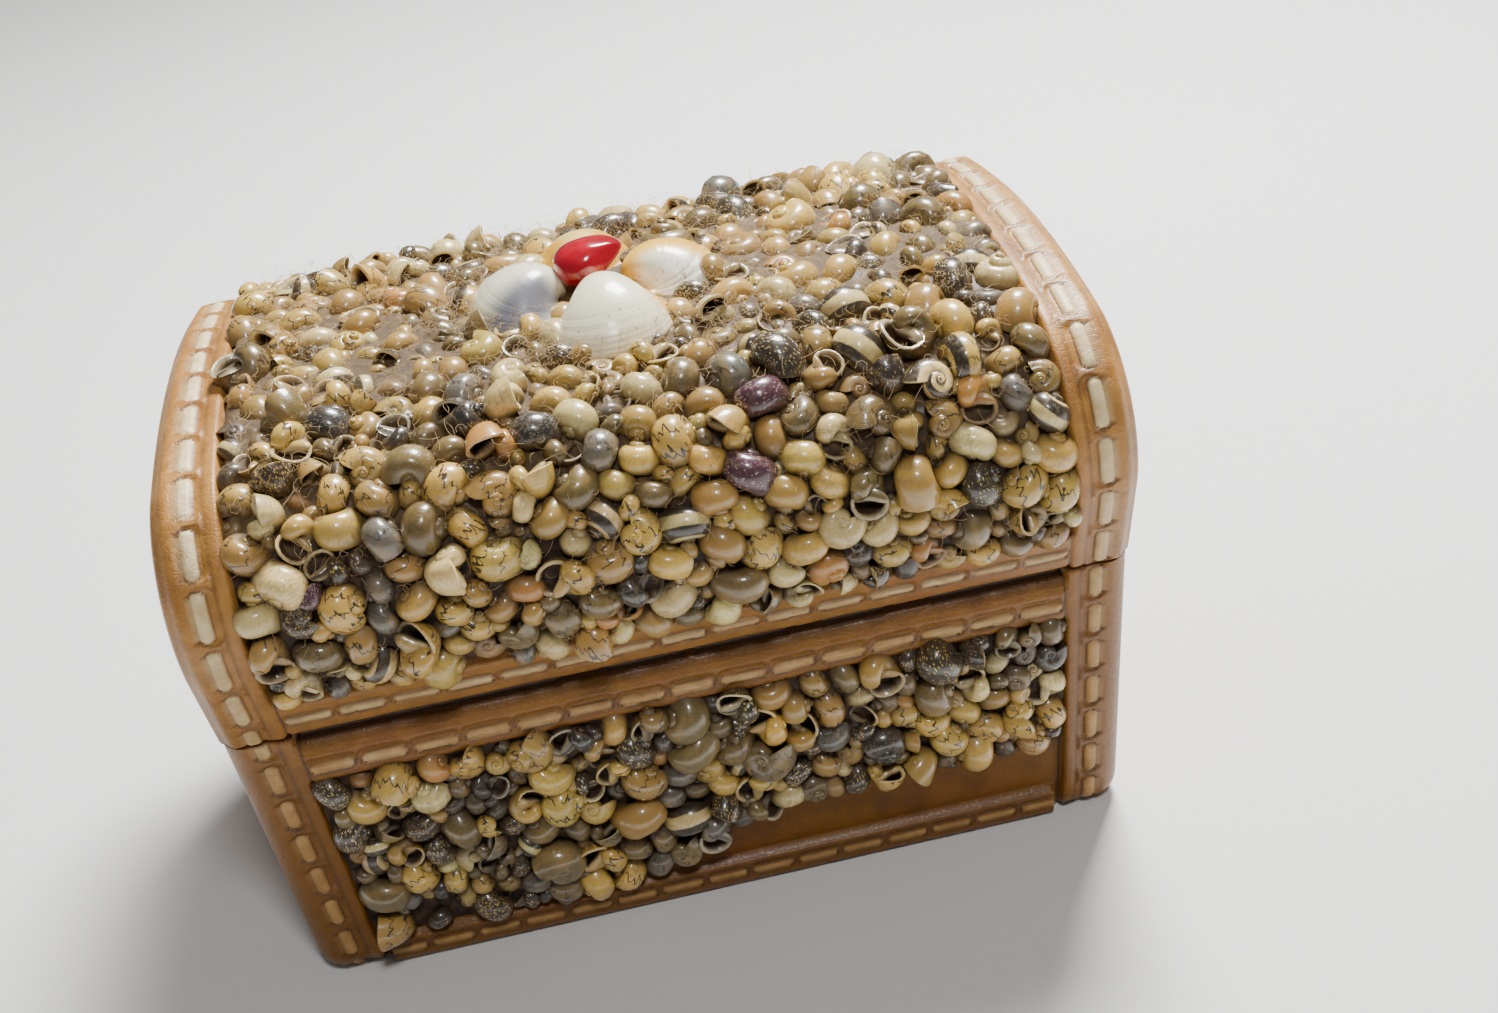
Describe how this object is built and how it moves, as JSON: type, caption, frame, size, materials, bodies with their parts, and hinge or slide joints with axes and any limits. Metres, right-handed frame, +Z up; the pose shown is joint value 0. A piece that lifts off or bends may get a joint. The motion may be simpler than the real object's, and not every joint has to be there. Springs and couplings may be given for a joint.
{
  "type": "shell box",
  "caption": "Small chest-shaped souvenir box with a lift-off domed lid, stitched moulded straps, a skin of little snail shells and a clam-shell flower on top.",
  "frame": {"origin": "centre of the body's flat underside, on the surface that the box stands on", "axes": "+Z up through the lid, +X to the right along the box's length as seen from the front, front towards -Y"},
  "size_m": [0.13, 0.0924, 0.0926],
  "materials": {
    "moulded_plastic": "caramel brown moulded plastic with a leather grain, slightly see-through amber where thin",
    "small_shells": "varnished small snail shells, cream to olive grey and blue-black, with dark zigzags and nets",
    "clam_shell": "varnished ivory clam shell with fine growth lines",
    "seed": "glossy red seed"
  },
  "bodies": {
    "root": {"body": "moulded_plastic", "lid": "moulded_plastic", "lid_shells": "small_shells", "front_shells": "small_shells", "clam_front": "clam_shell", "clam_left": "clam_shell", "clam_right": "clam_shell", "clam_back": "clam_shell", "red_seed": "seed"}
  },
  "joints": []
}
